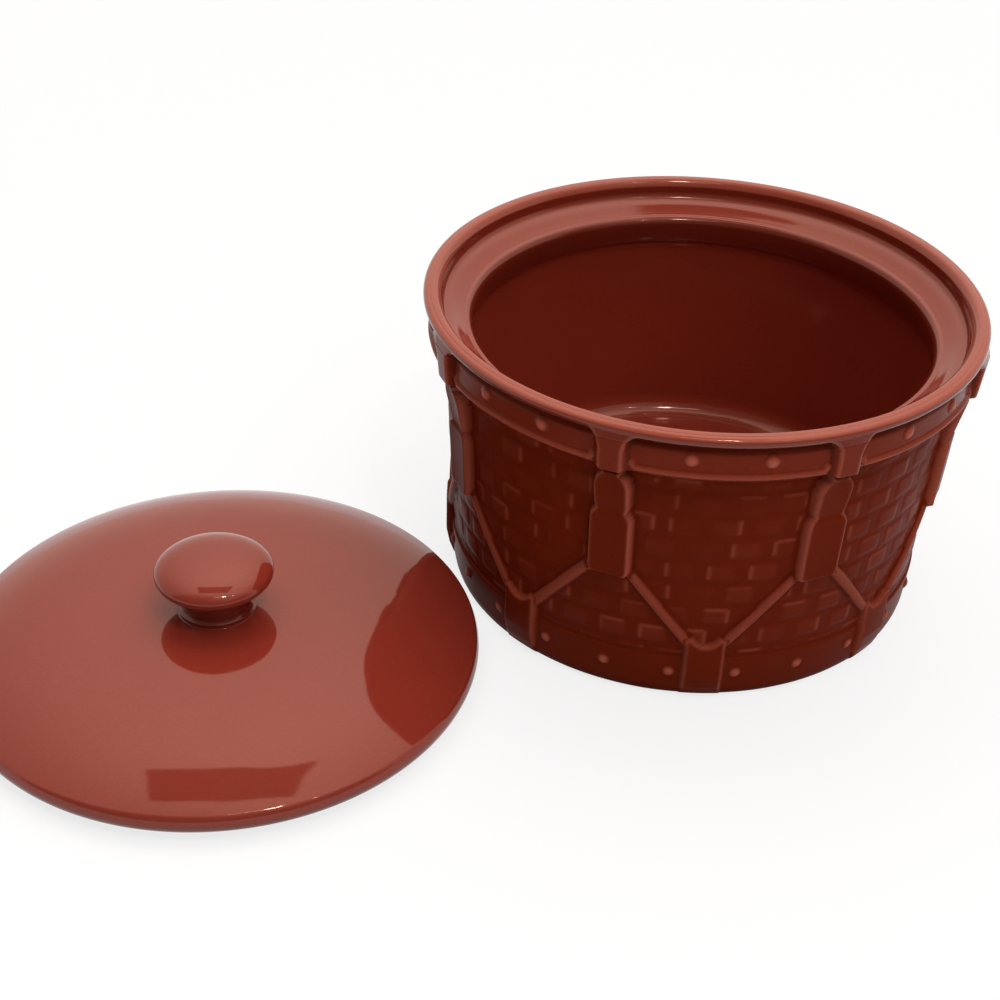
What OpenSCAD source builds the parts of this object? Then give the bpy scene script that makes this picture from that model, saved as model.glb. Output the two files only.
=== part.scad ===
// Low stoneware rumtopf crock with a domed lid and a mushroom knob.
// The crock stands upright and the lid lies beside it on its locating ring.
// The crock's relief copies straps, ropes, rivets and basket weave, and repeats eight times.
// Origin: centre of the crock's foot, on the surface it stands on. Up is +Z, the front is -Y.
// Azimuth is counted from the front, towards +X.

/* [Lid] */
// Radius of the lid plate
lid_r = 105; // [100:0.5:110]
// Thickness of the lid's rounded rim
lid_t = 10; // [8:0.5:12]
// Thickness of the lid's domed plate inside the locating ring
plate_t = 8; // [6:0.5:10]
// Rise of the domed plate from its shoulder to the knob
lid_rise = 14.4; // [12:0.2:16]
// How far the locating ring under the lid is set in from the lid's edge
ring_set = 13; // [11:0.5:16]
// Width of the locating ring's wall
ring_w = 8; // [5:0.5:12]
// How far the locating ring stands down from the rim
ring_h = 3; // [2:0.5:5]
// Radius of the knob at its widest
knob_r = 23.5; // [20:0.5:28]
// Height of the knob above the plate
knob_h = 25; // [22:0.5:30]
// Height of the knob's rounded cap
cap_h = 16.5; // [12:0.5:18]
// Radius of the knob's neck
neck_r = 13.5; // [9:0.5:16]
// Radius of the small flare where the neck meets the plate
flare_r = 2; // [1:0.25:3]
// Gap between the lid's edge and the crock's foot band when the lid lies beside it
lid_clear = 3.4; // [3:0.2:30]
// Azimuth at which the lid lies
lid_azimuth = -67.3; // [-180:0.1:180]

/* [Crock] */
// Height of the crock
crock_h = 131; // [120:1:160]
// Gap between the lid's edge and the inside of the lip
lid_gap = 3; // [2:0.25:4]
// Gap between the locating ring and the mouth
ring_gap = 2.1; // [1:0.1:4]
// Thickness of the rounded lip
lip_t = 6; // [5:0.25:8]
// Thickness of the wall
wall_t = 7.3; // [5:0.1:9]
// Thickness of the floor
floor_t = 9; // [6:0.5:12]
// Fillet between the floor and the wall inside
floor_fillet = 10; // [5:0.5:15]
// How far the wall stands back above the foot band
wall_step = 1; // [0.5:0.1:2]
// How far the wall stands back under the upper band
band_step = 6.2; // [5:0.1:7.5]
// How far the outer lip overhangs the upper band's face
lip_overhang = 3.2; // [2:0.1:4]
// Height of the smooth upper band, from its lower edge to the lip's groove
band_h = 16; // [13:0.5:20]
// Height of the rounded roll round the mouth
mouth_roll = 5.8; // [4:0.2:7]
// Height of the narrow neck below the mouth
neck_h = 8; // [5:0.5:12]

/* [Foot] */
// How far the smooth foot band is set in from the lid's edge
foot_set = 4; // [2:0.5:7]
// How far the foot draws in below the foot band, down to where it stands
foot_tuck = 3.8; // [3:0.1:5]
// Height of the foot band
foot_band_h = 21; // [17:0.5:24]
// Height of the foot ring under the floor
foot_h = 8; // [4:0.5:10]
// Width of the foot ring at the ground
foot_w = 13; // [8:0.5:20]

/* [Weave] */
// Height of one row of weave
row_h = 10.85; // [10:0.05:11.4]
// Lower edge of the lowest whole row
weave_low = 26; // [24:0.5:28]
// Number of weave pads along a row in each of the eight repeats
weave_pads_each = 5; // [4:1:6]
// How far the pads are turned from the middle of the repeat, in degrees
weave_turn = 1.4; // [0:0.1:1.5]
// How far a weave pad stands proud of the wall
weave_proud = 1; // [0.6:0.1:1.4]
// Gap between two rows of pads
weave_gap = 2; // [1:0.1:3]
// Width of the upright stakes that show between two pads of a row
stake_w = 3.8; // [2.5:0.1:5]

/* [Straps] */
// Width of the ear at the strap's lower end
ear_w = 17; // [15:0.5:19]
// Height of the ear
ear_h = 29.7; // [26:0.5:32]
// How far the ear stands proud of the wall
ear_proud = 4.4; // [3:0.1:6]
// Width of the strap above the ear
strap_w = 14; // [11:0.5:15]
// How far the strap's face stands proud of the upper band where it runs in under the strap's head
strap_meet = 0.6; // [0:0.1:1.5]
// Width of the strap where it crosses the upper band
head_w = 9.5; // [8:0.5:11]
// Thickness of the strap over the upper band
head_proud = 3; // [2:0.1:3.2]
// Edge rounding on the ears and straps
strap_round = 2.5; // [1.5:0.1:2.8]
// Diameter of the diagonal ropes
rope_d = 5.5; // [4:0.25:6.5]
// Width of the foot tabs
tab_w = 16; // [13:0.5:18]
// Top of the foot tabs above the foot band
tab_rise = 10; // [7:0.5:12]
// How far the foot tabs stand proud of the foot band
tab_proud = 2.4; // [1.5:0.1:3]
// Diameter of the beads that frame the upper band's panels
bead_d = 4.6; // [3.5:0.1:5.5]

/* [Rivets] */
// Diameter of the rivets on the upper band
band_rivet_d = 5.7; // [4.5:0.1:6.5]
// Diameter of the rivets on the foot band
foot_rivet_d = 4.8; // [4:0.1:5.5]
// Height of every rivet's dome
rivet_proud = 1.7; // [1.2:0.1:2]

/* [Hidden] */
$fn = 96;
// Steps round the crock's own surface, fine enough for the thin relief that is cut to it
round_steps = 480;
repeats = 8;
sector = 360 / repeats;

glaze = "#7a2a1c";
glaze_light = "#8f3a2a";

// Rim and gallery, worked out from the lid that they hold
ring_r = lid_r - ring_set;
lip_in_r = lid_r + lid_gap;
lip_r = lip_in_r + lip_t;
lip_z = crock_h - lip_t / 2;
band_r = lip_r - lip_overhang;
groove_z = crock_h - lip_t;
groove_d = 0.8;
groove_r = band_r - groove_d;
band_low = groove_z - band_h;
mouth_r = ring_r + ring_gap;
mouth_drop = 2.5;
mouth_z = crock_h - lid_t - mouth_drop - mouth_roll / 2;
seat_step = 3.2;
seat_rise = 1.5;
seat_out_r = lip_in_r - seat_step;
seat_out_z = crock_h - lid_t + seat_rise;

// Wall, floor and foot
foot_band_r = lid_r - foot_set;
foot_r = foot_band_r - foot_tuck;
wall_low_r = foot_band_r - wall_step;
wall_top_r = band_r - band_step;
wall_low_z = foot_band_h + 0.8;
wall_top_z = band_low - 1;
wall_lean = atan((wall_top_r - wall_low_r) / (wall_top_z - wall_low_z));
floor_z = foot_h + floor_t;
foot_curve_h = foot_band_h / 3;
neck_low_z = mouth_z - neck_h;
neck_step = 0.7;
neck_flare = 3;
foot_slope = 3;
edge = 1;

// Relief
pad_angle = sector / weave_pads_each;
stake_angle = 2 * asin(stake_w / 2 / wall_low_r);
pad_clear = 0.4;
top_row = floor((wall_top_z - weave_gap - weave_low) / row_h);
ear_row = 3;
ear_low = weave_low + ear_row * row_h;
ear_top = ear_low + ear_h;
ear_half_angle = asin(ear_w / 2 / wall_low_r);
tab_low = 2;
tab_top = foot_band_h + tab_rise;
tab_dip_r = tab_w / 3;
tab_toe = 2.2;
rope_r = rope_d / 2;
rope_clear = 0.2;
bead_r = bead_d / 2;
bead_z = band_low + 2 * edge + bead_r;
bead_end = head_w / 2 + 5;
bead_turn = 4.5;
post_r = 1.7;
ball_over = 0.1;
band_rivet_rise = 3;
band_rivet_z = (band_low + groove_z) / 2 + band_rivet_rise;
foot_face_low_r = foot_band_r - edge;
foot_face_lean = atan(edge / (foot_band_h - edge - foot_curve_h));
foot_rivet_share = 0.64;
foot_rivet_z = foot_band_h * foot_rivet_share;
foot_rivet_r = foot_face_low_r + (foot_rivet_z - foot_curve_h) * tan(foot_face_lean);
into_wall = 6;
rivet_turn = 7.5;

// Lid, lying beside the crock
lid_distance = foot_band_r + lid_r + lid_clear;
lid_edge_r = lid_t / 2;
shoulder_slope = 30;
shoulder_r = lid_r - lid_edge_r + lid_edge_r * sin(shoulder_slope);
shoulder_z = ring_h + lid_edge_r + lid_edge_r * cos(shoulder_slope);
dome_power = shoulder_r * tan(shoulder_slope) / lid_rise;
dome_steps = 18;
plate_z = shoulder_z + lid_rise;
knob_land_r = neck_r + flare_r + edge;
ring_in_r = ring_r - ring_w;
cap_z = knob_h - cap_h / 2;
neck_into_cap = 1.5;

function wall_r(z) = wall_low_r + (z - wall_low_z) * tan(wall_lean);

// The strap's lean outwards from the wall, so that it runs in under its head
strap_low_z = ear_top - strap_round;
strap_proud = ear_proud - edge;
strap_reach = band_r + strap_meet - strap_proud - wall_r(strap_low_z);
strap_lean = atan(strap_reach / (band_low - strap_low_z)) - wall_lean;

function turns(from, to, steps) = [for (i = [0:steps]) from + (to - from) * i / steps];
function oval(cx, cy, rx, ry, from, to, steps) =
    [for (a = turns(from, to, steps)) [cx + rx * cos(a), cy + ry * sin(a)]];
function arc(cx, cy, r, from, to, steps) = oval(cx, cy, r, r, from, to, steps);

// Top of the domed plate: flat under the knob and steepest at the shoulder, where it meets the rim
function dome_z(r) = plate_z - lid_rise * pow(r / shoulder_r, dome_power);

// Outer side of the crock, from the ground to the outside of the lip
outside = concat(
    oval(foot_r, foot_curve_h, foot_band_r - foot_r - edge, foot_curve_h, -90, 0, 5),
    arc(foot_band_r - edge, foot_band_h - edge, edge, 0, 90, 3),
    [[wall_low_r, wall_low_z], [wall_top_r, wall_top_z]],
    [[band_r - edge, band_low + edge], [band_r, band_low + 2 * edge]],
    [[band_r, groove_z - 2 * edge], [groove_r, groove_z - 0.2], [groove_r + edge, groove_z + 0.4]],
    arc(lip_r - lip_t / 2, lip_z, lip_t / 2, -50, 0, 3));

// Inner side of the crock, from the inside of the lip down to the middle of the floor
neck_wall_r = wall_r(neck_low_z - neck_flare) - wall_t;
low_wall_r = wall_r(floor_z + floor_fillet) - wall_t;
inside = concat(
    arc(lip_r - lip_t / 2, lip_z, lip_t / 2, 0, 180, 10),
    [[seat_out_r, seat_out_z]],
    arc(mouth_r + mouth_roll / 2, mouth_z, mouth_roll / 2, 100, 180, 5),
    [[mouth_r + neck_step, neck_low_z], [neck_wall_r, neck_low_z - neck_flare]],
    arc(low_wall_r - floor_fillet, floor_z + floor_fillet, floor_fillet, 0, -90, 6),
    [[0, floor_z]]);

// Under the lid, from its middle out and down to the locating ring
under_lid = concat(
    [for (r = turns(0, ring_in_r - 2 * edge, dome_steps / 2)) [r, dome_z(r) - plate_t]],
    [[ring_in_r, dome_z(ring_in_r) - plate_t - 2 * edge]],
    [[ring_in_r, edge], [ring_in_r + edge, 0], [ring_r - edge, 0], [ring_r, edge], [ring_r, ring_h]]);

// Over the lid, round its rim and up the dome to the flat land that the knob stands on
over_lid = concat(
    arc(lid_r - lid_edge_r, ring_h + lid_edge_r, lid_edge_r, -90, 90 - shoulder_slope, 10),
    [for (part = turns(1 - 1 / dome_steps, 1 / dome_steps, dome_steps - 2))
        [shoulder_r * sqrt(part), dome_z(shoulder_r * sqrt(part))]],
    [[knob_land_r, plate_z], [0, plate_z]]);

// Under the floor, out to the foot ring
foot_in_r = foot_r - foot_w;
underside = [[0, foot_h], [foot_in_r - foot_slope, foot_h], [foot_in_r, edge], [foot_in_r + edge, 0]];

// Places its children on the wall's surface at the front, leaning with the wall
module on_wall(z) {
    translate([0, -wall_r(z), z])
        rotate([wall_lean, 0, 0])
            children();
}

// Repeats its children round the crock, the first at the given azimuth
module around(count, first) {
    for (i = [0:count - 1])
        rotate([0, 0, first + i * 360 / count])
            children();
}

// The crock without its hollow, which the relief is cut to, so that it seats on the surface
module crock_body() {
    rotate_extrude($fn = round_steps)
        polygon(concat([[0, 0]], outside, [[0, lip_z]]));
}

// The wall alone, between the two smooth bands
module wall_core() {
    reach = wall_top_z - wall_low_z;
    low = wall_low_z - reach;
    high = wall_top_z + reach;
    translate([0, 0, low])
        cylinder(h = high - low, r1 = wall_r(low), r2 = wall_r(high), $fn = round_steps);
}

// Square with two rounded outer corners: its outer side is at -depth, its inner side at into_wall
module soft_side(w, depth, round) {
    translate([-w / 2, round - depth])
        square([w, depth - round + into_wall]);
    translate([round - w / 2, -depth])
        square([w - 2 * round, 2 * round]);
    for (side = [-1, 1])
        translate([side * (w / 2 - round), round - depth])
            circle(round);
}

// Relief block with soft edges, standing on z = 0 and proud towards the front
module soft_block(w, h, proud, round) {
    intersection() {
        linear_extrude(h)
            soft_side(w, proud, round);
        translate([-w / 2, 0, h / 2])
            rotate([0, 90, 0])
                linear_extrude(w)
                    soft_side(h, proud, round);
    }
}

// Dome with a flat back that stands on the plane y = 0, towards the front
module dome(d, proud) {
    ball_r = (d * d / 4 + proud * proud) / (2 * proud);
    intersection() {
        translate([0, ball_r - proud, 0])
            sphere(ball_r);
        translate([-d, -d, -d])
            cube([2 * d, d, 2 * d]);
    }
}

// Round bar from one point to another
module bar(from, to, r) {
    reach = to - from;
    translate(from)
        rotate([0, acos(reach.z / norm(reach)), atan2(reach.y, reach.x)])
            cylinder(h = norm(reach), r = r);
}

function on_surface(azimuth, z) = [wall_r(z) * sin(azimuth), -wall_r(z) * cos(azimuth), z];

module ear_block() {
    on_wall(ear_low)
        soft_block(ear_w, ear_top - ear_low, ear_proud, strap_round);
}

// Foot tab, which runs out into the foot's own curve at its lower end
module tab_block() {
    difference() {
        intersection() {
            translate([0, -foot_band_r, tab_low])
                soft_block(tab_w, tab_top - tab_low, tab_proud, edge);
            rotate_extrude($fn = round_steps)
                polygon([[0, 0], [foot_r + tab_toe, 0], [foot_band_r + edge, foot_curve_h],
                    [foot_band_r + tab_proud + edge, 2.4 * foot_curve_h],
                    [foot_band_r + tab_proud + edge, tab_top + edge], [0, tab_top + edge]]);
        }
        translate([0, 0, tab_top + tab_dip_r / 2])
            rotate([90, 0, 0])
                cylinder(h = foot_band_r + tab_proud + edge, r = tab_dip_r);
    }
}

// Diagonal rope from a foot tab's top corner to an ear's lower corner on one side
module rope_bar(side) {
    ear_corner = asin((ear_w / 2 - rope_r / 2) / wall_r(ear_low));
    tab_corner = asin((tab_w / 2 - rope_r / 2) / wall_r(tab_top));
    bar(on_surface(side * tab_corner, tab_top - rope_r),
        on_surface(side * (sector / 2 - ear_corner), ear_low + rope_r), rope_r);
}

module crock_shell() {
    color(glaze)
        rotate_extrude()
            polygon(concat(underside, outside, inside));
}

// One pad: a slice of a ring on the wall, with a crowned face
module weave_pad(z_low, z_high, from, to) {
    crown = oval(0, (z_low + z_high) / 2, weave_proud, (z_high - z_low) / 2, -90, 90, 4);
    rotate([0, 0, from - 90])
        rotate_extrude(angle = to - from)
            polygon([for (p = crown) [wall_r(p.y) + p.x, p.y]]);
}

// Every other row is shifted by half a pad. The lowest and the highest row are low ones, which
// run out at the smooth bands.
function pad_middle(row, i) = (i + (row % 2 == 0 ? 0.5 : 0)) * pad_angle + weave_turn;
function pad_low(row) = max(weave_low + row * row_h + weave_gap / 2, wall_low_z + pad_clear);
function pad_high(row) = min(weave_low + (row + 1) * row_h - weave_gap / 2, wall_top_z - pad_clear);

// Pads of one row in one repeat, with more at each side for a row that two ears part
module weave_row(row, more, limit) {
    half = (pad_angle - stake_angle) / 2;
    first = -floor(weave_pads_each / 2);
    for (i = [first - more:first + weave_pads_each - 1 + more]) {
        left = max(pad_middle(row, i) - half, -limit);
        right = min(pad_middle(row, i) + half, limit);
        if (right - left > stake_angle / 2)
            weave_pad(pad_low(row), pad_high(row), left, right);
    }
}

// Basket weave: a pad lies where a strand passes over an upright stake. Ears part the upper rows,
// and the lower rows run on round the crock, cut to the ropes and the tabs.
module weave_pads() {
    color(glaze_light)
        around(repeats, 0) {
            for (row = [ear_row:top_row])
                weave_row(row, 1, sector / 2 - ear_half_angle - pad_clear);
            difference() {
                for (row = [-1:ear_row - 1])
                    weave_row(row, 0, sector);
                tab_block();
                for (i = [-1:1], side = [-1, 1])
                    rotate([0, 0, i * sector])
                        rope_bar(side);
            }
        }
}

module ear_flaps() {
    color(glaze)
        around(repeats, sector / 2)
            difference() {
                ear_block();
                wall_core();
            }
}

// Strap above each ear, leaning out from the wall to pass over the upper band
module strap_bands() {
    color(glaze)
        around(repeats, sector / 2)
            difference() {
                on_wall(strap_low_z)
                    rotate([strap_lean, 0, 0])
                        soft_block(strap_w, 2 * (band_low - ear_top), strap_proud, strap_round);
                crock_body();
                ear_block();
                translate([-lip_r, -2 * lip_r, band_low])
                    cube([2 * lip_r, 2 * lip_r, lip_r]);
            }
}

// Strap where it crosses the upper band, up to the lip
module strap_heads() {
    color(glaze)
        around(repeats, sector / 2)
            difference() {
                translate([0, -band_r, band_low])
                    soft_block(head_w, lip_z - band_low - edge, head_proud, strap_round);
                crock_body();
            }
}

module diagonal_ropes() {
    color(glaze_light)
        around(repeats, 0)
            for (side = [-1, 1])
                intersection() {
                    difference() {
                        rope_bar(side);
                        wall_core();
                    }
                    translate([-lip_r, -lip_r, tab_top])
                        cube([2 * lip_r, 2 * lip_r, ear_low - tab_top - rope_clear]);
                }
}

module foot_tabs() {
    color(glaze)
        around(repeats, 0)
            difference() {
                tab_block();
                crock_body();
            }
}

// Half-round bead along the lower edge of the upper band, turned up at each end beside a strap
module panel_beads() {
    end_angle = asin(bead_end / band_r);
    color(glaze_light)
        around(repeats, 0) {
            rotate([0, 0, end_angle - sector / 2 - 90])
                rotate_extrude(angle = sector - 2 * end_angle)
                    intersection() {
                        translate([band_r, bead_z])
                            circle(bead_r);
                        translate([band_r, bead_z - bead_r])
                            square(2 * bead_r);
                    }
            for (side = [-1, 1])
                rotate([0, 0, side * (sector / 2 - end_angle)])
                    translate([0, -band_r, bead_z])
                        intersection() {
                            union() {
                                sphere(bead_r + ball_over);
                                cylinder(h = bead_turn, r = post_r);
                                translate([0, 0, bead_turn])
                                    sphere(post_r + ball_over);
                            }
                            translate([-bead_d, -bead_d, -bead_d])
                                cube([2 * bead_d, bead_d, 3 * bead_d]);
                        }
        }
}

module band_rivets() {
    color(glaze_light)
        for (side = [-1, 1])
            around(repeats, side * rivet_turn)
                translate([0, -band_r, band_rivet_z])
                    dome(band_rivet_d, rivet_proud);
}

module foot_rivets() {
    color(glaze_light)
        around(repeats * 3, rivet_turn)
            translate([0, -foot_rivet_r, foot_rivet_z])
                rotate([foot_face_lean, 0, 0])
                    dome(foot_rivet_d, rivet_proud);
}

module beside_crock() {
    rotate([0, 0, lid_azimuth])
        translate([0, -lid_distance, 0])
            children();
}

module lid_plate() {
    color(glaze)
        beside_crock()
            rotate_extrude()
                polygon(concat(under_lid, over_lid));
}

module lid_knob() {
    color(glaze)
        beside_crock()
            translate([0, 0, plate_z])
                rotate_extrude()
                    polygon(concat(
                        [[0, 0]],
                        arc(neck_r + flare_r, flare_r, flare_r, 270, 180, 4),
                        [[neck_r, cap_z - cap_h / 2 + neck_into_cap]],
                        oval(0, cap_z, knob_r, cap_h / 2, -45, 90, 16)));
}

crock_shell();
weave_pads();
ear_flaps();
strap_bands();
strap_heads();
diagonal_ropes();
foot_tabs();
panel_beads();
band_rivets();
foot_rivets();
lid_plate();
lid_knob();
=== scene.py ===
"""A low stoneware rumtopf crock in oxblood glaze, with its domed lid lying beside it.

The crock's moulded relief copies straps, ropes, rivets and basket weave, and repeats eight times.
Lengths are in millimetres until they go into a mesh. Azimuth is counted from the front, towards +X.
"""
import math

import bmesh
import bpy
from mathutils import Matrix, Vector, noise


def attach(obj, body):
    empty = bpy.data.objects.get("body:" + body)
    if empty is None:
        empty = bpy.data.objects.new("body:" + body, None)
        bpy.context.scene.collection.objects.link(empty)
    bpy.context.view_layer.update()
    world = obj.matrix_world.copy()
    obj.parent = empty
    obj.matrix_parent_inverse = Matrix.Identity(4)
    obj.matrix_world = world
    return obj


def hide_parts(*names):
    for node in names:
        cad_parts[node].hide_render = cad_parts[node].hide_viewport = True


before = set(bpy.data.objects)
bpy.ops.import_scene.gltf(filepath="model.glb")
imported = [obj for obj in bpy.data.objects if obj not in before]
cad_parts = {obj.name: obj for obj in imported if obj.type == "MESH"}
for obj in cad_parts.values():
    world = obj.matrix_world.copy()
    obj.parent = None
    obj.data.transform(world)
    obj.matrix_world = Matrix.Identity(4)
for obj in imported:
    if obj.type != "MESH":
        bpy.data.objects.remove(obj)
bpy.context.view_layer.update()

MM = 0.001

# Camera, at the photograph's place and angle
camera_at = Vector((-93.0, -621.7, 451.3)) * MM
camera_heading = math.radians(-1.2)
camera_pitch = 0.601
camera_roll = 0.035
camera_lens = 61.76

# Crock, as in the model that this dresses
crock_h, lip_r, lip_t = 131.0, 114.0, 6.0
lip_z = crock_h - lip_t / 2
band_r, band_low, groove_z, groove_d = 110.8, 109.0, 125.0, 1.5
wall_low_r, wall_low_z = 100.0, 21.8
wall_top_r, wall_top_z = 104.6, 108.0
foot_r, foot_curve_h, foot_band_r, foot_band_h = 97.2, 7.0, 101.0, 21.0
foot_h, foot_in_r = 8.0, 84.2
floor_z, floor_fillet, wall_t = 17.0, 10.0, 7.3
mouth_r, mouth_roll, mouth_z = 93.9, 2.9, 114.7
seat_r, seat_z = 104.8, 122.5
neck_low_z = 107.6
bare_foot_h = 1.4

# Basket weave
sector = 45.0
row_h, weave_low, weave_gap = 10.85, 26.0, 2.0
seam_z = weave_low + 3 * row_h - 0.65
pad_angle, weave_turn, stake_w = 9.0, 1.4, 3.8
weave_proud, stake_proud = 0.45, 0.1

# Straps, ropes, tabs and beads
ear_low, ear_top, ear_w, ear_proud = 58.55, 88.25, 17.0, 4.4
strap_w, strap_proud, strap_meet = 14.0, 3.4, 0.6
head_w, head_proud = 9.0, 3.2
edge_foot, edge_top = 0.6, 1.2
rope_r = 2.3
tab_w, tab_low, tab_top, tab_proud, tab_dip_r, tab_toe = 16.0, 2.0, 31.0, 2.4, 5.3, 2.2
bead_r, bead_z, bead_end, bead_rise = 1.15, 113.0, 7.6, 2.8

# Rivets: width, height, place
rivet_turn, rivet_proud = 7.5, 1.3
band_rivet_d, band_rivet_z = 5.7, 119.4
foot_rivet_d, foot_rivet_z, foot_rivet_r, foot_lean = 4.8, 13.44, 100.5, 4.4

# Lid, lying on its locating ring
lid_r, lid_edge_r, ring_r, ring_w, ring_h, plate_t = 105.0, 5.0, 92.0, 8.0, 3.0, 8.0
shoulder_slope, shoulder_r, shoulder_z, lid_rise = 30.0, 102.5, 12.33, 14.4
dome_power = shoulder_r * math.tan(math.radians(shoulder_slope)) / lid_rise
plate_z = shoulder_z + lid_rise
knob_r, knob_h, cap_h, neck_r, flare_r = 23.5, 25.0, 16.5, 13.5, 2.0
lid_azimuth, lid_distance = -67.3, 209.4


def towards(azimuth, elevation=0.0):
    """Unit vector from the crock in a direction given in degrees."""
    a, e = math.radians(azimuth), math.radians(elevation)
    return Vector((math.cos(e) * math.sin(a), -math.cos(e) * math.cos(a), math.sin(e)))


lid_at = towards(lid_azimuth) * lid_distance * MM


def arc(cx, cz, rx, rz, start, end, steps):
    """Points along an ellipse's arc, from one angle to another in degrees."""
    angles = [math.radians(start + (end - start) * i / steps) for i in range(steps + 1)]
    return [(cx + rx * math.cos(a), cz + rz * math.sin(a)) for a in angles]


def along(points, step):
    """The same outline with no stretch longer than a step."""
    fine = [points[0]]
    for (x0, z0), (x1, z1) in zip(points, points[1:]):
        count = max(1, math.ceil(math.hypot(x1 - x0, z1 - z0) / step))
        fine += [(x0 + (x1 - x0) * i / count, z0 + (z1 - z0) * i / count) for i in range(1, count + 1)]
    return fine


def between(table, at):
    """Straight interpolation in a short table of (position, value) pairs."""
    if at <= table[0][0]:
        return table[0][1]
    for (a, va), (b, vb) in zip(table, table[1:]):
        if at <= b:
            return va + (vb - va) * (at - a) / (b - a)
    return table[-1][1]


def revolve(outline, steps, ring=False):
    """A closed shell, turned from an outline that starts and ends on the axis, or from a loop for a ring.
    One eighth is spun, and seven turned copies close it."""
    bm = bmesh.new()
    verts = [bm.verts.new((x * MM, 0, z * MM)) for x, z in outline]
    edges = [bm.edges.new(pair) for pair in zip(verts, verts[1:])]
    if ring:
        edges.append(bm.edges.new((verts[-1], verts[0])))
    bmesh.ops.spin(bm, geom=verts + edges, cent=(0, 0, 0), axis=(0, 0, 1), angle=math.tau / 8,
                   steps=steps // 8, use_merge=False, use_duplicate=False)
    eighth = bm.verts[:] + bm.edges[:] + bm.faces[:]
    for turn in range(1, 8):
        copy = bmesh.ops.duplicate(bm, geom=eighth)["geom"]
        bmesh.ops.rotate(bm, cent=(0, 0, 0), matrix=Matrix.Rotation(math.tau * turn / 8, 3, "Z"),
                         verts=[v for v in copy if isinstance(v, bmesh.types.BMVert)])
    bmesh.ops.remove_doubles(bm, verts=bm.verts, dist=1e-6)
    bmesh.ops.recalc_face_normals(bm, faces=bm.faces)
    return bm


def piece(name, bm, material, body, nodes):
    """Turns a bmesh into a smooth piece that rides on a body and stands for nodes of the model."""
    mesh = bpy.data.meshes.new(name)
    bm.to_mesh(mesh)
    bm.free()
    mesh.shade_smooth()
    mesh.materials.append(material)
    obj = bpy.data.objects.new(name, mesh)
    bpy.context.scene.collection.objects.link(obj)
    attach(obj, body)
    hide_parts(*nodes)
    return obj


# Materials

def linear(hex_colour):
    """An sRGB hex colour as linear RGBA."""
    values = [int(hex_colour[i:i + 2], 16) / 255 for i in (1, 3, 5)]
    return (*[v / 12.92 if v <= 0.04045 else ((v + 0.055) / 1.055) ** 2.4 for v in values], 1.0)


def add_node(tree, kind, settings, inputs):
    """Adds a node, sets its properties, and sets its inputs or links them to the sockets given."""
    node = tree.nodes.new(kind)
    for key, value in settings.items():
        setattr(node, key, value)
    for key, value in inputs.items():
        if isinstance(value, bpy.types.NodeSocket):
            tree.links.new(value, node.inputs[key])
        else:
            node.inputs[key].default_value = value
    return node


def new_material(name):
    material = bpy.data.materials.new(name)
    material.use_nodes = True
    tree = material.node_tree
    return material, tree, tree.nodes["Principled BSDF"]


def per_mm(size):
    """Scale of a noise whose cells are about a given size in millimetres."""
    return 1 / (size * MM)


def mixed(tree, factor, first, second, blend="MIX"):
    """Colour between two colours, which are given as hex values or as sockets."""
    colours = [linear(c) if isinstance(c, str) else c for c in (first, second)]
    return add_node(tree, "ShaderNodeMix", {"data_type": "RGBA", "blend_type": blend},
                    {0: factor, 6: colours[0], 7: colours[1]}).outputs[2]


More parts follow.
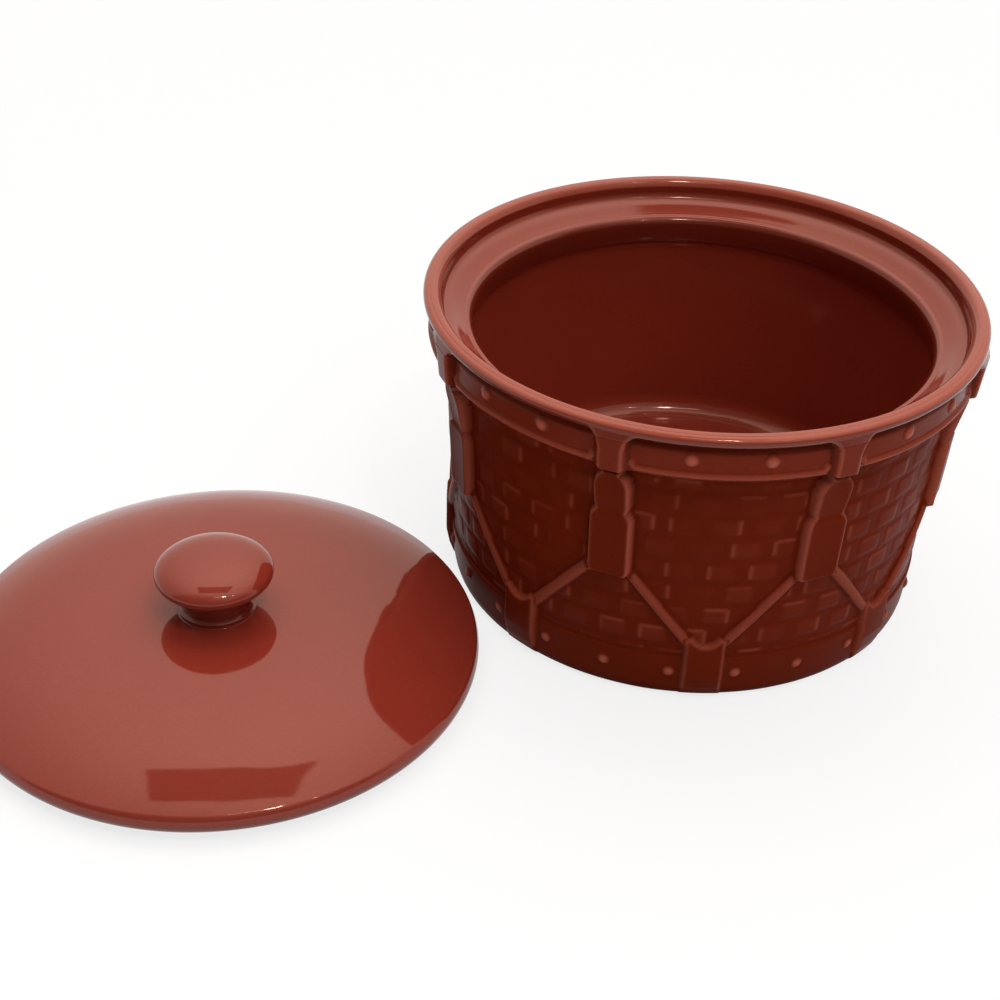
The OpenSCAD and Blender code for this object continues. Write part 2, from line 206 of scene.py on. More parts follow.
def oxblood_glaze(name, cool, warm, roughness, specular, ripple):
    """Oxblood glaze, poured on stoneware and fired glossy: a glassy coat between two near reds. A tone
    attribute paints it lighter, partly for glaze thinning over an edge and partly as painted highlight and
    painted reflection, and nearly black as painted shade in creases, under edges and beside parts; it also
    gives the weave's pads a random tone. The iron in it warms what it mirrors. The foot, on which the crock
    stands in the kiln, is bare clay."""
    material, tree, shader = new_material(name)
    place = add_node(tree, "ShaderNodeTexCoord", {}, {}).outputs["Object"]
    height = add_node(tree, "ShaderNodeSeparateXYZ", {}, {0: place}).outputs["Z"]
    # above 0 this attribute paints the glaze lighter, partly thin glaze and partly painted highlight; below 0 it paints
    # it darker, as painted shade
    glaze_and_painted_light = add_node(tree, "ShaderNodeAttribute", {"attribute_name": "glaze_tone_and_painted_light"}, {}).outputs["Fac"]
    darkening = add_node(tree, "ShaderNodeMath", {"operation": "MULTIPLY"}, {0: glaze_and_painted_light, 1: -1.0}).outputs["Value"]
    # slow changes of thickness where the glaze ran, 45 mm across, and iron specks of 1.2 mm
    pools = add_node(tree, "ShaderNodeTexNoise", {}, {"Vector": place, "Scale": per_mm(45), "Detail": 3.0})
    specks = add_node(tree, "ShaderNodeTexNoise", {}, {"Vector": place, "Scale": per_mm(1.2), "Detail": 2.0})
    # painted shade darkens the colour towards near black here, and the next line lightens it, partly for thin glaze and
    # partly as painted highlight
    darkened = mixed(tree, darkening, mixed(tree, pools.outputs["Fac"], cool, warm), "#350802")
    glazed = mixed(tree, glaze_and_painted_light, darkened, "#c06a56")
    grain = add_node(tree, "ShaderNodeMapRange", {},
                     {"Value": specks.outputs["Fac"], "From Min": 0.3, "From Max": 0.7, "To Min": 0.94, "To Max": 1.05})
    coloured = mixed(tree, 1.0, glazed, grain.outputs["Result"], "MULTIPLY")
    bare = add_node(tree, "ShaderNodeMapRange", {},
                    {"Value": height, "From Min": 1.2 * MM, "From Max": 0.9 * MM, "To Min": 0.0, "To Max": 1.0})
    tree.links.new(mixed(tree, bare.outputs["Result"], coloured, "#a98468"), shader.inputs["Base Color"])
    gloss = add_node(tree, "ShaderNodeMapRange", {},
                     {"Value": bare.outputs["Result"], "To Min": roughness, "To Max": 0.8})
    tree.links.new(gloss.outputs["Result"], shader.inputs["Roughness"])
    # the surface of a poured glaze is wavy over 16 mm, and its grain shows as a faint orange peel of 3 mm
    wave = add_node(tree, "ShaderNodeTexNoise", {}, {"Vector": place, "Scale": per_mm(16), "Detail": 0.0})
    peel = add_node(tree, "ShaderNodeTexNoise", {}, {"Vector": place, "Scale": per_mm(3), "Detail": 1.0})
    waves = add_node(tree, "ShaderNodeBump", {},
                     {"Height": wave.outputs["Fac"], "Strength": ripple, "Distance": 0.6 * MM})
    bump = add_node(tree, "ShaderNodeBump", {}, {"Height": peel.outputs["Fac"], "Strength": ripple,
                                                 "Distance": 0.03 * MM, "Normal": waves.outputs["Normal"]})
    tree.links.new(bump.outputs["Normal"], shader.inputs["Normal"])
    shader.inputs["IOR"].default_value = 1.5
    shader.inputs["Specular IOR Level"].default_value = specular
    shader.inputs["Specular Tint"].default_value = linear("#ffdccf")
    return material


# the glaze is the same all over, but its colour on the relief and on the upper band is painted darker than on the
# turned parts and the lid, as painted shade on the upright outer wall; it is also dullest on the relief and glassier on
# the smooth turned parts
relief_glaze = oxblood_glaze("oxblood glaze on moulded stoneware", "#5e1c0a", "#69210d", 0.32, 0.015, 0.4)
band_glaze = oxblood_glaze("oxblood glaze on the moulded band", "#6c2412", "#742815", 0.2, 0.06, 0.4)
turned_glaze = oxblood_glaze("oxblood glaze on turned stoneware", "#7d2c1e", "#843122", 0.1, 0.54, 0.3)
lid_glaze = oxblood_glaze("oxblood glaze on the lid", "#7c2c21", "#822f24", 0.06, 0.54, 0.2)

# Wall and foot band, with all the relief below the upper band. They are two sleeves on the turned
# crock, which meet in the valley between two rows of the weave, just under the ears.


def wall_r(z):
    return wall_low_r + (wall_top_r - wall_low_r) * (z - wall_low_z) / (wall_top_z - wall_low_z)


foot_curve = arc(foot_r, foot_curve_h, foot_band_r - foot_r - 1, foot_curve_h, -80, 0, 5)
lower_outside = [(foot_r - 1.0, bare_foot_h - 0.1), (foot_r + 0.6, bare_foot_h - 0.2)] + \
    [(x + 0.15, z) for x, z in foot_curve if z > bare_foot_h] + \
    arc(foot_band_r - 1, foot_band_h - 1, 1, 1, 5, 80, 4) + \
    [(wall_low_r + 0.35, foot_band_h + 0.25), (wall_low_r, wall_low_z), (wall_r(seam_z), seam_z)]
lower_inside = [(wall_r(seam_z) - 3, seam_z), (wall_low_r - 3, wall_low_z), (foot_r - 3, bare_foot_h + 0.6)]
upper_outside = [(wall_r(seam_z), seam_z), (wall_top_r, wall_top_z), (wall_r(band_low), band_low),
                 (wall_r(band_low + 0.8), band_low + 0.8)]
upper_inside = [(wall_top_r - 3, band_low + 0.8), (wall_r(seam_z) - 3, seam_z)]


def rounded(inside_by, radius):
    """Height of a quarter-round edge: 0 at the edge, 1 from a radius inwards."""
    if inside_by <= 0:
        return 0.0
    return 1.0 if inside_by >= radius else math.sqrt(1 - (1 - inside_by / radius) ** 2)


def soft(at, start, end):
    """A smooth step from 0 at start to 1 at end."""
    t = min(1.0, max(0.0, (at - start) / (end - start)))
    return t * t * (3 - 2 * t)


def from_line(x, z, a, b):
    """Distance from a point to a straight stretch, on the unrolled wall."""
    ax, az, bx, bz = *a, *b
    t = ((x - ax) * (bx - ax) + (z - az) * (bz - az)) / ((bx - ax) ** 2 + (bz - az) ** 2)
    t = min(1.0, max(0.0, t))
    return math.hypot(x - ax - t * (bx - ax), z - az - t * (bz - az))


def half_round(distance, radius):
    return math.sqrt(radius * radius - distance * distance) if distance < radius else 0.0


def weave(azimuth, z, r):
    """Height of the basket weave and its glaze tone: soft pads, with low stakes between them, painted highlights on
    some pads' ends and top edges, a random tone per pad, and painted shade between the pads.
    """
    row = math.floor((z - weave_low) / row_h)
    low = max(weave_low + row * row_h + weave_gap / 2, wall_low_z + 0.4)
    high = min(weave_low + (row + 1) * row_h - weave_gap / 2, wall_top_z - 0.4)
    if high <= low:
        return 0.0, 0.0
    shift = weave_turn + (pad_angle / 2 if row % 2 == 0 else 0)
    column = round((azimuth - shift) / pad_angle)
    x = math.radians(azimuth - shift - column * pad_angle) * r
    half = math.radians(pad_angle) * r / 2 - stake_w / 2
    hand = noise.noise(Vector((column * 0.83, row * 1.37, 2.5)))
    tilt = noise.noise(Vector((column * 0.71, row * 1.91, 8.5)))
    over_edge = half - abs(x)
    over_row = min(z - low, high - z)
    cover = soft(over_edge, -1.2, 2.0) * soft(over_row, -0.9, 1.8)
    crown = 1 - 0.25 * (x / half) ** 2 + 0.35 * hand + 0.5 * tilt * x / half
    stake = stake_proud * (1 - soft(abs(over_edge + stake_w / 2), 0.8, 2.2)) if over_edge < 0 else 0.0
    # painted highlight along one end of some pads, the end that the pad's tilt raises
    rim = math.exp(-((over_edge - 1.2) / 1.0) ** 2) * soft(over_row, 0, 2)
    rim *= soft(tilt if x > 0 else -tilt, 0.08, 0.3)
    # painted highlight along the top edge of some pads
    ledge = math.exp(-((high - z - 1.0) / 0.9) ** 2) * soft(over_edge, 0, 3)
    ledge *= soft(noise.noise(Vector((column * 0.77, row * 1.61, 14.5))), 0.1, 0.35)
    # the pads also get a random tone, and painted shade lies in the gaps between them
    glaze_and_painted_light = cover * (0.22 * max(rim, ledge) + 0.03 * (0.5 + 2 * hand)) - 0.06 * (1 - cover)
    return weave_proud * cover * crown + stake, glaze_and_painted_light


strap_half = [(ear_low, ear_w / 2 - 1.0), (ear_low + 3, ear_w / 2), (ear_top - 3, ear_w / 2),
              (ear_top - 1, ear_w / 2 - 0.7), (ear_top + 0.6, strap_w / 2 - 0.6), (ear_top + 3, strap_w / 2),
              (band_low - 8, strap_w / 2 + 0.2), (band_low - 5, strap_w / 2 - 0.5),
              (band_low - 3, strap_w / 2 - 1.5), (band_low - 1.6, strap_w / 2 - 3)]


def strap_face(z):
    """Radius of the face of an ear or, above it, of its strap, which leans out to the upper band."""
    start = ear_top - edge_top
    ear = wall_r(z) + ear_proud
    strap = wall_r(start) + strap_proud
    strap += (band_r + strap_meet - strap) * (z - start) / (band_low - start)
    return ear + (strap - ear) * soft(z, ear_top - 1.0, ear_top + 0.8)


def wall_relief(azimuth, z, r):
    """Radius of the wall and the foot band with the relief, and the glaze tone there: crests and edges of the ropes,
    tabs, ears and straps lighter, partly thin glaze and partly painted highlight, and painted shade beside the ropes,
    ears and straps and on the foot's curve near the floor.
    """
    near_tab = (azimuth + sector / 2) % sector - sector / 2
    near_ear = azimuth % sector - sector / 2
    x_tab = math.radians(near_tab) * r
    x_ear = math.radians(near_ear) * r
    height, glaze_and_painted_light = weave(azimuth, z, r) if wall_low_z < z < wall_top_z else (0.0, 0.0)
    out = r + height
    if tab_top - 4 < z < ear_low + 4:
        far = math.radians(sector / 2) * r
        d = from_line(abs(x_tab), z, (tab_w / 2 - 1.4, tab_top - 2.7), (far - ear_w / 2 + 1.4, ear_low + 2.7))
        rope = half_round(d, rope_r)
        if r + rope > out:
            # the rope's crest is lighter, partly thin glaze and partly painted highlight
            out, glaze_and_painted_light = r + rope, 0.26 * rounded(rope, rope_r) ** 3
        else:
            # painted shade on the wall along the rope
            glaze_and_painted_light -= 0.25 * soft(d, rope_r + 2, rope_r)
    if tab_low - 0.5 < z < tab_top + 1.5:
        dip = math.hypot(x_tab, z - tab_top - 0.5 * tab_dip_r) - tab_dip_r
        inside_by = min(tab_w / 2 - abs(x_tab), tab_top + 0.4 - z, z - tab_low + 0.4, dip)
        if inside_by > -edge_foot:
            face = between([(0, foot_r + tab_toe), (foot_curve_h, foot_band_r + 1),
                            (14, foot_band_r + tab_proud)], z)
            out = max(out, r + max(0.0, face - r) * soft(inside_by, -edge_foot, edge_top))
            # the tab's edges are lighter, partly thin glaze and partly painted highlight
            glaze_and_painted_light = 0.3 * math.exp(-((inside_by - 0.7) / 0.7) ** 2)
    if z > ear_low - 0.8:
        half = between(strap_half, z)
        inside_by = min(half - abs(x_ear), z - ear_low + 0.4)
        if inside_by > -edge_foot:
            dish = 0.4 * max(0.0, 1 - (x_ear / (half - 2)) ** 2)
            out = max(out, r + (strap_face(z) - dish - r) * soft(inside_by, -edge_foot, edge_top))
            # the edges of ears and straps are lighter, partly thin glaze and partly painted highlight
            glaze_and_painted_light = 0.5 * math.exp(-((inside_by - 0.8) / 0.7) ** 2) * soft(half - abs(x_ear), 3, 1.5)
        else:
            # painted shade on the wall beside an ear or strap
            glaze_and_painted_light -= 0.35 * soft(-inside_by, 2.5, edge_foot)
    if z > band_low - 0.6:
        out -= (out - r) * soft(z, band_low - 0.6, band_low + 0.8)
    # painted shade on the foot's curve, low by the floor
    return out, glaze_and_painted_light - 0.6 * soft(z, 6.5, 1.5)


def moulded(bm, relief, low, high, least_r):
    """Moves the outer surface between two heights out to its relief, and stores its glaze tone: above 0
    lighter, partly thin glaze and partly painted highlight, below 0 darker, as painted shade. least_r gives
    the radius, at a height, inside of which nothing moves."""
    glaze_and_painted_light_layer = bm.verts.layers.float.new("glaze_tone_and_painted_light")
    for vert in bm.verts:
        r = math.hypot(vert.co.x, vert.co.y) / MM
        z = vert.co.z / MM
        if not low < z < high or r < least_r(z):
            continue
        out, glaze_and_painted_light = relief(math.degrees(math.atan2(vert.co.x, -vert.co.y)), z, r)
        out += 0.1 * noise.noise(vert.co * per_mm(14))
        vert.co.x *= out / r
        vert.co.y *= out / r
        vert[glaze_and_painted_light_layer] = min(1.0, max(-1.0, glaze_and_painted_light))


def skin_r(z):
    """Radius just inside the outer surface of the wall and the foot band."""
    return between([(0, foot_r - 1.5), (wall_low_z, wall_low_r - 1.5), (band_low, wall_top_r - 1.5)], z)


def sleeve(name, outside, inside, nodes):
    """One sleeve of the wall, moulded and with a sharp edge where it meets the other."""
    bm = revolve(along(outside, 0.74) + inside, 1040, ring=True)
    for edge in bm.edges:
        if all(abs(vert.co.z / MM - seam_z) < 0.01 and vert.co.xy.length / MM > skin_r(seam_z) for vert in edge.verts):
            edge.smooth = False
    moulded(bm, wall_relief, bare_foot_h + 0.2, band_low + 0.9, skin_r)
    piece(name, bm, relief_glaze, "crock", nodes)


sleeve("lower_wall", lower_outside, lower_inside, ["weave_pads", "diagonal_ropes", "foot_tabs"])
sleeve("upper_wall", upper_outside, upper_inside, ["weave_pads", "ear_flaps", "strap_bands", "diagonal_ropes"])

# The turned crock: underside, lip, seat for the lid, mouth and inside

underside = [(0.0, foot_h), (foot_in_r - 3, foot_h), (foot_in_r - 0.8, foot_h - 1.2), (foot_in_r, 1.0),
             (foot_in_r + 0.8, 0.0), (foot_r - 0.6, 0.0), (foot_r + 0.2, 0.4), (foot_r + 0.5, bare_foot_h)]
under_sleeves = [(foot_r - 1.5, bare_foot_h + 1), (wall_low_r - 1.5, wall_low_z), (wall_r(105.5) - 1.2, 105.5),
                 (band_r - 3.5, band_low + 1.5), (band_r - 3.5, groove_z - 1.0)]
# the lip is a flat roll with a crisp outer edge, and a fine turned line runs round its top
lip_outside = [(band_r - groove_d - 0.6, groove_z - 0.2), (band_r - groove_d, groove_z), (110.4, 125.3),
               (112.2, 126.2), (113.2, 126.8), (113.75, 127.4), (113.98, 128.0), (114.0, 128.7)]
lip_and_seat = [(113.95, 129.1), (113.75, 129.6), (113.4, 130.05), (112.9, 130.4), (112.3, 130.62),
                (111.8, 130.72), (111.6, 130.58), (111.4, 130.78), (110.8, 130.92), (110.1, 130.95),
                (109.4, 130.85), (108.7, 130.55), (108.1, 130.05), (107.65, 129.4), (107.3, 128.8),
                (107.0, 128.2), (106.85, 127.6), (106.75, 126.6), (106.65, 125.4), (106.45, 124.2),
                (106.0, 123.2), (105.3, 122.55), (104.5, 122.2), (103.6, 121.9), (102.7, 121.5),
                (101.6, 120.9), (100.5, 120.2), (99.4, 119.5), (98.4, 118.95), (97.6, 118.5)]
low_wall_r = wall_r(floor_z + floor_fillet) - wall_t
inside = arc(mouth_r + mouth_roll, mouth_z, mouth_roll, mouth_roll + 0.6, 84, 185, 9) + \
    [(mouth_r + 0.7, neck_low_z), (95.1, 106.5), (95.8, 105.4), (96.5, 104.2), (96.9, 103.0)] + \
    along([(wall_r(101) - wall_t, 101.0), (low_wall_r, floor_z + floor_fillet)], 9.0) + \
    arc(low_wall_r - floor_fillet, floor_z + floor_fillet, floor_fillet, floor_fillet, -10, -90, 8) + \
    [(60.0, floor_z), (30.0, floor_z), (0.0, floor_z)]

# The upper band, which is a third sleeve and meets the turned lip in the crease under it
band_outside = arc(wall_r(106.5) + 2.4, 106.5, 2.5, 2.5, 185, 100, 5) + \
    [(band_r - 2.0, band_low + 0.6), (band_r - 0.7, band_low + 1.8), (band_r, band_low + 3.0)]
band_top = [(band_r, groove_z - 3.0), (band_r - 0.2, groove_z - 2.3), (band_r - 0.7, groove_z - 1.6),
            (band_r - groove_d + 0.1, groove_z - 0.8), (band_r - groove_d, groove_z)]
band_inside = [(band_r - 3.0, groove_z - 0.4), (band_r - 3.0, band_low + 1.5), (wall_r(106.5) - 1.0, 105.9)]
head_half = [(band_low, head_w / 2 - 0.6), (band_low + 2.5, head_w / 2), (lip_z - 8, head_w / 2),
             (lip_z - 4, head_w / 2 + 0.8), (lip_z - 1, head_w / 2 + 3)]
head_flank = 3.6


def band_relief(azimuth, z, r):
    """Radius of the upper band with its beads and strap heads, and the glaze tone there: painted shade in the crease
    under the lip, under the bead and beside the heads, and bead crests and head edges lighter, partly thin glaze and
    partly painted highlight.
    """
    x_tab = math.radians((azimuth + sector / 2) % sector - sector / 2) * r
    x_ear = math.radians(azimuth % sector - sector / 2) * r
    out = r
    # painted shade in the crease under the lip and under the bead
    glaze_and_painted_light = -0.3 * soft(z, groove_z - 3.2, groove_z - 1.8)
    glaze_and_painted_light -= 0.4 * soft(z, bead_z - bead_r - 0.2, bead_z - bead_r - 1.5)
    if bead_z - bead_r < z < groove_z:
        reach = math.radians(sector / 2) * r - bead_end
        d = min(from_line(abs(x_tab), z, (0, bead_z), (reach - 1.2, bead_z)),
                from_line(abs(x_tab), z, (reach - 1.2, bead_z), (reach, bead_z + 1.2)),
                from_line(abs(x_tab), z, (reach, bead_z + 1.2), (reach, bead_z + bead_rise)))
        fade = 1 - 0.6 * soft(z, bead_z + bead_r, bead_z + bead_rise + bead_r)
        bead = half_round(d, bead_r) * fade
        # the bead's crest is lighter, partly thin glaze and partly painted highlight
        if bead > 0:
            out, glaze_and_painted_light = r + bead, 0.25 * rounded(bead, bead_r) ** 3
    half = between(head_half, z)
    flank = 1 - soft(abs(x_ear), half - 0.8, half - 0.8 + head_flank)
    rise = flank * soft(z - band_low - 0.2, 0, edge_foot + edge_top)
    head_r = between([(band_low, band_r + head_proud - 0.5), (groove_z, band_r + head_proud + 1.0), (lip_z, lip_r)], z)
    if rise > 0 and head_r > r:
        face = r + (head_r - r) * rise
        if face > out:
            out = face
            # on a head the painted shade of the crease gives way; its edges are lighter, partly thin glaze and partly
            # painted highlight, and the band beside it gets painted shade
            glaze_and_painted_light *= 1 - rise
            glaze_and_painted_light += 0.4 * math.exp(-((abs(x_ear) - half + 0.3) / 0.7) ** 2) * rise
            glaze_and_painted_light -= 0.6 * math.exp(-((abs(x_ear) - half - 2.0) / 1.0) ** 2)
    return out, glaze_and_painted_light


turned_outline = underside + under_sleeves + along(lip_outside, 0.65) + lip_and_seat + inside
crock = revolve(turned_outline, 1040)
moulded(crock, band_relief, groove_z + 0.01, lip_z - 0.2, lambda z: band_r - groove_d - 0.3)
glaze_and_painted_light_layer = crock.verts.layers.float["glaze_tone_and_painted_light"]
# painted light on the turned crock: the lip's top and inner shoulder lighter as painted reflection, and painted shade
# on the lip's outer face and underside, a little on the step inside the lip, and on the mouth and throat
for vert in crock.verts:
    if vert.co.z > 129.5 * MM or (vert.co.z > 127.9 * MM and vert.co.xy.length < 110 * MM):
        vert[glaze_and_painted_light_layer] = 0.25
    elif vert.co.z > groove_z * MM + 0.0003 and vert.co.xy.length > 110 * MM:
        vert[glaze_and_painted_light_layer] = -0.4
    elif groove_z * MM < vert.co.z and vert.co.xy.length < 107 * MM:
        vert[glaze_and_painted_light_layer] = -0.15
    elif vert.co.xy.length < (mouth_r + 2) * MM and vert.co.z > neck_low_z * MM:
        vert[glaze_and_painted_light_layer] = -0.4
piece("crock", crock, turned_glaze, "crock", ["crock_shell", "strap_heads"])

upper_band = revolve(along(band_outside + band_top, 0.65) + band_inside, 1040, ring=True)
moulded(upper_band, band_relief, band_low + 0.2, groove_z + 0.3, lambda z: band_r - 1.8)
piece("upper_band", upper_band, band_glaze, "crock", ["crock_shell", "strap_heads", "panel_beads"])

# Rivets: domes pressed on the bands, each with a soft skirt of glaze


def rivets(name, width, places, material, node):
    skirt = width / 2 + 0.8
    dome = [(skirt * (1 - i / 9), rivet_proud * (1 - soft(skirt * (1 - i / 9), 0.2, skirt)) ** 0.65)
            for i in range(10)]
    outline = [(0.0, -0.9), (skirt - 0.2, -0.9), (skirt, -0.25)] + \
        [(x, z - 0.12 * x / skirt) for x, z in dome]
    bm = bmesh.new()
    glaze_and_painted_light_layer = bm.verts.layers.float.new("glaze_tone_and_painted_light")
    for azimuth, z, r, lean in places:
        one = revolve(outline, 24)
        turn = Matrix.Rotation(math.radians(azimuth), 4, "Z") @ Matrix.Translation((0, -r * MM, z * MM)) @ \
            Matrix.Rotation(math.radians(90 + lean), 4, "X")
        one_glaze_and_painted_light = one.verts.layers.float.new("glaze_tone_and_painted_light")
        for vert in one.verts:
            # the dome's top is lighter, partly thin glaze and partly painted highlight
            vert[one_glaze_and_painted_light] = 0.6 * soft(vert.co.z / MM, 0.1, rivet_proud)
        bmesh.ops.transform(one, matrix=turn, verts=one.verts)
        mesh = bpy.data.meshes.new("rivet")
        one.to_mesh(mesh)
        one.free()
        bm.from_mesh(mesh)
        bpy.data.meshes.remove(mesh)
    return piece(name, bm, material, "crock", [node])


eight = [sector * i for i in range(8)]
rivets("band_rivets", band_rivet_d, [(a + side * rivet_turn, band_rivet_z, band_r, 0)
                                     for a in eight for side in (-1, 1)], band_glaze, "band_rivets")
rivets("foot_rivets", foot_rivet_d, [(a + side * rivet_turn, foot_rivet_z, foot_rivet_r, foot_lean)
                                     for a in eight for side in (1, 3, 5)], relief_glaze, "foot_rivets")

# Lid


def dome_z(r):
    """Top of the domed plate: flat under the knob and steepest at the shoulder."""
    return plate_z - lid_rise * (r / shoulder_r) ** dome_power


ring_in_r = ring_r - ring_w
under_lid = [(r, dome_z(r) - plate_t) for r in (0, 25, 40, 50, 58, 65, 71, 76, 80)] + \
    [(ring_in_r - 1.2, dome_z(82) - plate_t), (ring_in_r - 0.2, ring_h + 1.5), (ring_in_r, 0.8), (ring_in_r + 0.8, 0.0),
     (ring_r - 0.8, 0.0), (ring_r, 0.8), (ring_r + 0.3, ring_h - 0.6), (ring_r + 1.2, ring_h)]
# the rim is a steep, slightly rounded face, with a crisp shoulder where it meets the dome
rim = arc(lid_r - lid_edge_r, ring_h + lid_edge_r, lid_edge_r, lid_edge_r, -90, 0, 12) + \
    [(lid_r - 0.05, 8.5), (lid_r - 0.2, 9.1), (lid_r - 0.45, 9.9), (lid_r - 0.75, 10.6), (lid_r - 1.05, 11.15),
     (lid_r - 1.35, 11.55), (lid_r - 1.7, 11.86), (lid_r - 2.1, 12.1)]
dome_r = [shoulder_r * math.sqrt(1 - i / 60) for i in range(1, 58)]
lid = revolve(under_lid + rim + [(r, dome_z(r)) for r in dome_r] + [(12.0, plate_z), (0.0, plate_z)], 360)
# painted shade darkens the rim towards its lower edge
glaze_and_painted_light_layer = lid.verts.layers.float.new("glaze_tone_and_painted_light")
for vert in lid.verts:
    if vert.co.xy.length > (lid_r - lid_edge_r - 1) * MM:
        vert[glaze_and_painted_light_layer] = -0.9 * soft(vert.co.z / MM, 9.5, 4.5)
bmesh.ops.translate(lid, vec=lid_at, verts=lid.verts)
piece("lid_plate", lid, lid_glaze, "lid", ["lid_plate"])

cap_z = knob_h - cap_h / 2
knob = [(0.0, -0.5), (neck_r + flare_r + 0.8, -0.5), (neck_r + flare_r + 0.6, 0.05)] + \
    arc(neck_r + flare_r, flare_r, flare_r, flare_r, 262, 180, 6) + \
    [(neck_r, 5.0), (neck_r, 8.0), (neck_r + 0.3, 9.4), (neck_r + 1.1, 10.3)] + \
    arc(0, cap_z, knob_r, cap_h / 2, -48, 90, 34)
knob_bm = revolve([(x, z + plate_z) for x, z in knob], 128)
bmesh.ops.translate(knob_bm, vec=lid_at, verts=knob_bm.verts)
piece("lid_knob", knob_bm, lid_glaze, "lid", ["lid_knob"])

# Stage, light and camera


def add_path(tree):
    """1 for what the camera sees, straight or through a mirror or glass, and 0 for the light on the object."""
    path = add_node(tree, "ShaderNodeLightPath", {}, {})
    mirrored = add_node(tree, "ShaderNodeMath", {"operation": "MAXIMUM"},
                        {0: path.outputs["Is Glossy Ray"], 1: path.outputs["Is Transmission Ray"]})
    seen = add_node(tree, "ShaderNodeMath", {"operation": "MAXIMUM"},
                    {0: path.outputs["Is Camera Ray"], 1: mirrored.outputs["Value"]})
    return path, seen.outputs["Value"]


def white_floor(corners):
    """White paper, which the camera sees nearly as bright as the world, so that only a soft shadow shows."""
    material, tree, shader = new_material("white paper")
    shader.inputs["Base Color"].default_value = linear("#e9f0fb")
    shader.inputs["Roughness"].default_value = 0.9
    shader.inputs["Specular IOR Level"].default_value = 0.1
    seen = add_path(tree)[1]
    share = add_node(tree, "ShaderNodeMath", {"operation": "MULTIPLY"}, {0: seen, 1: 0.78})
    glow = add_node(tree, "ShaderNodeEmission", {}, {"Color": linear("#ffffff"), "Strength": 1.0})
    both = add_node(tree, "ShaderNodeMixShader", {}, {0: share.outputs["Value"], 1: shader.outputs["BSDF"],
                                                      2: glow.outputs["Emission"]})
    tree.links.new(both.outputs["Shader"], tree.nodes["Material Output"].inputs["Surface"])
    mesh = bpy.data.meshes.new("floor")
    bm = bmesh.new()
    bm.faces.new([bm.verts.new(c) for c in corners])
    bm.to_mesh(mesh)
    bm.free()
    mesh.materials.append(material)
    obj = bpy.data.objects.new("floor", mesh)
    bpy.context.scene.collection.objects.link(obj)


white_floor([(-6, -6, 0), (6, -6, 0), (6, 6, 0), (-6, 6, 0)])


def softbox(name, azimuth, elevation, distance, width, height, radiance):
    """A lamp that faces the crock from a direction in degrees, with its measures in metres."""
    light = bpy.data.lights.new(name, "AREA")
    light.shape = "RECTANGLE"
    light.size = width
    light.size_y = height
    light.energy = radiance * math.pi * width * height
    light.color = linear(warm_light)[:3]
    obj = bpy.data.objects.new(name, light)
    obj.location = towards(azimuth, elevation) * distance
    obj.rotation_euler = towards(azimuth, elevation).to_track_quat("Z", "Y").to_euler()
    bpy.context.scene.collection.objects.link(obj)


warm_light = "#fff2e6"
softbox("front_lamp", 13.4, 61.8, 1.3, 0.1, 0.06, 95)
softbox("front_strip", 1.0, 62.5, 1.3, 0.3, 0.03, 14)
softbox("right_lamp", 36, 54, 1.4, 0.05, 0.05, 40)

world = bpy.data.worlds.new("white studio")
world.use_nodes = True
bpy.context.scene.world = world
tree = world.node_tree
path, seen = add_path(tree)
level = add_node(tree, "ShaderNodeMapRange", {}, {"Value": seen, "To Min": 0.12, "To Max": 1.0}).outputs["Result"]
direction = add_node(tree, "ShaderNodeTexCoord", {}, {}).outputs["Generated"]


def soft_glow(azimuth, elevation, reach, strength, falloff):
    """Light from a broad patch of sky round a direction, fading out towards its reach in degrees."""
    near = add_node(tree, "ShaderNodeVectorMath", {"operation": "DOT_PRODUCT"},
                    {0: direction, 1: towards(azimuth, elevation)})
    spread = add_node(tree, "ShaderNodeMapRange", {},
                      {"Value": near.outputs["Value"], "From Min": math.cos(math.radians(reach)),
                       "From Max": 1.0, "To Min": 0.0, "To Max": 1.0})
    faded = add_node(tree, "ShaderNodeMath", {"operation": "POWER"}, {0: spread.outputs["Result"], 1: falloff})
    return add_node(tree, "ShaderNodeMath", {"operation": "MULTIPLY"}, {0: faded.outputs["Value"], 1: strength})


# a broad glow from above and behind, a lower key from the right, and a dark board overhead
overhead = soft_glow(165, 74, 62, 3.9, 2.2)
key = soft_glow(38, 50, 34, 1.6, 1.5)
both_glows = add_node(tree, "ShaderNodeMath", {"operation": "ADD"},
                      {0: overhead.outputs["Value"], 1: key.outputs["Value"]})
# the glaze mirrors the glows at less than half of the strength at which they light the crock
softened = add_node(tree, "ShaderNodeMapRange", {}, {"Value": path.outputs["Is Glossy Ray"], "To Min": 1.0, "To Max": 0.45})
glows = add_node(tree, "ShaderNodeMath", {"operation": "MULTIPLY"},
                 {0: both_glows.outputs["Value"], 1: softened.outputs["Result"]})
split = add_node(tree, "ShaderNodeSeparateXYZ", {}, {0: direction})


def within(value, middle, half, softness):
    """1 within a half-width of a middle value, and 0 past its soft edge."""
    off = add_node(tree, "ShaderNodeMath", {"operation": "SUBTRACT"}, {0: value, 1: middle})
    size = add_node(tree, "ShaderNodeMath", {"operation": "ABSOLUTE"}, {0: off.outputs["Value"]})
    return add_node(tree, "ShaderNodeMapRange", {"interpolation_type": "SMOOTHSTEP"},
                    {"Value": size.outputs["Value"], "From Min": half + softness, "From Max": half - softness,
                     "To Min": 0.0, "To Max": 1.0}).outputs["Result"]


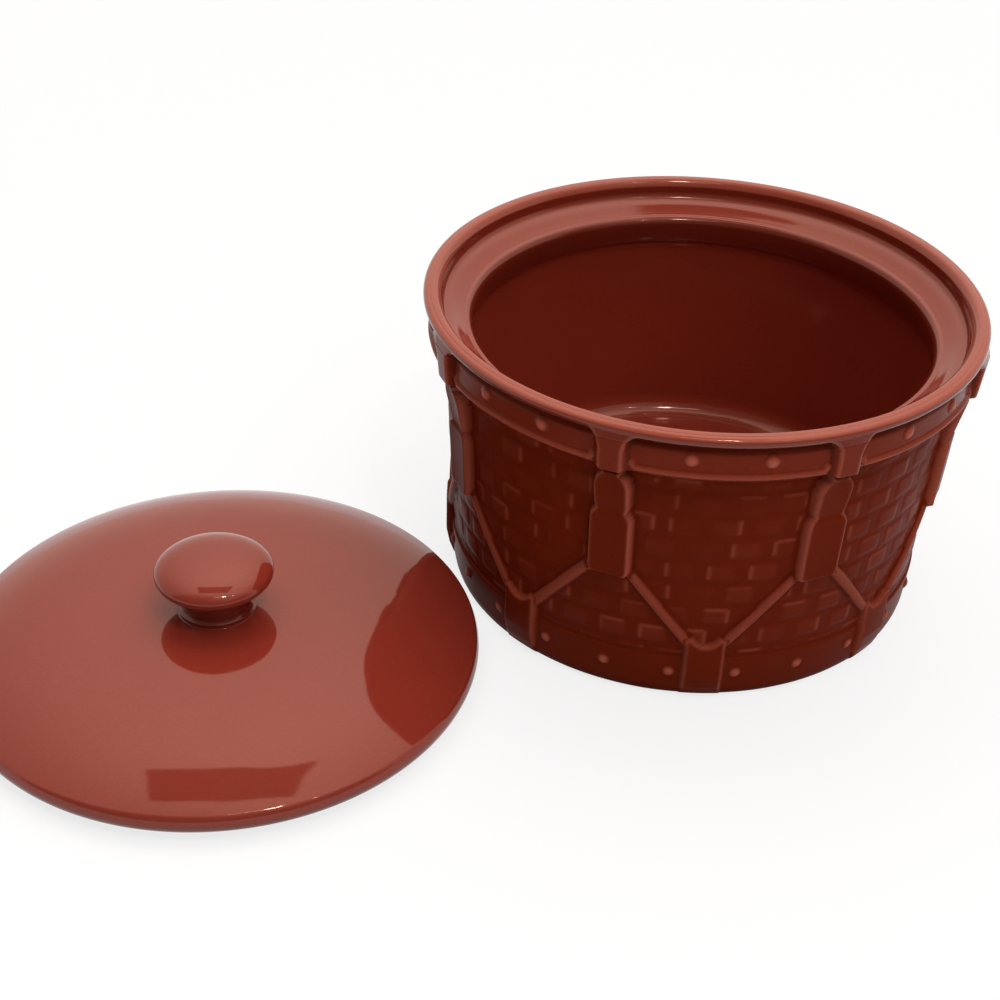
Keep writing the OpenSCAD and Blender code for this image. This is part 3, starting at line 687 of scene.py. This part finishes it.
board = add_node(tree, "ShaderNodeMath", {"operation": "MULTIPLY"},
                 {0: within(split.outputs["X"], -0.01, 0.265, 0.015), 1: within(split.outputs["Y"], 0.0, 0.14, 0.012)})
overhead_only = add_node(tree, "ShaderNodeMath", {"operation": "GREATER_THAN"}, {0: split.outputs["Z"], 1: 0.0})
covered = add_node(tree, "ShaderNodeMath", {"operation": "MULTIPLY"},
                   {0: board.outputs["Value"], 1: overhead_only.outputs["Value"]})
# behind the camera the room is dim, so that a shoulder or a lip turns dark towards the viewer
front = add_node(tree, "ShaderNodeMapRange", {"interpolation_type": "SMOOTHSTEP"},
                 {"Value": split.outputs["Y"], "From Min": -0.2, "From Max": -0.4, "To Min": 1.0, "To Max": 0.3})
room = add_node(tree, "ShaderNodeMath", {"operation": "MULTIPLY"}, {0: level, 1: front.outputs["Result"]})
total = add_node(tree, "ShaderNodeMath", {"operation": "ADD"}, {0: glows.outputs["Value"], 1: room.outputs["Value"]})
open_part = add_node(tree, "ShaderNodeMath", {"operation": "MULTIPLY_ADD"}, {0: covered.outputs["Value"], 1: -0.85, 2: 1.0})
lit = add_node(tree, "ShaderNodeMath", {"operation": "MULTIPLY"},
               {0: total.outputs["Value"], 1: open_part.outputs["Value"]})
shown = add_node(tree, "ShaderNodeMix", {"data_type": "FLOAT"},
                 {0: path.outputs["Is Camera Ray"], 2: lit.outputs["Value"], 3: 1.0})
background = tree.nodes["Background"]
tree.links.new(mixed(tree, path.outputs["Is Camera Ray"], warm_light, "#ffffff"), background.inputs["Color"])
tree.links.new(shown.outputs[0], background.inputs["Strength"])

camera = bpy.data.cameras.new("camera")
camera.lens = camera_lens
camera.sensor_width = 36
ahead = Vector((-math.sin(camera_heading), math.cos(camera_heading), 0))
across = Vector((math.cos(camera_heading), math.sin(camera_heading), 0))
up_level = ahead * math.sin(camera_pitch) + Vector((0, 0, 1)) * math.cos(camera_pitch)
forward = ahead * math.cos(camera_pitch) - Vector((0, 0, 1)) * math.sin(camera_pitch)
right = across * math.cos(camera_roll) + up_level * math.sin(camera_roll)
up = up_level * math.cos(camera_roll) - across * math.sin(camera_roll)
view = Matrix((right, up, -forward)).transposed().to_4x4()
view.translation = camera_at
camera_object = bpy.data.objects.new("camera", camera)
camera_object.matrix_world = view
bpy.context.scene.collection.objects.link(camera_object)
bpy.context.scene.camera = camera_object
bpy.context.scene.view_settings.view_transform = "Standard"
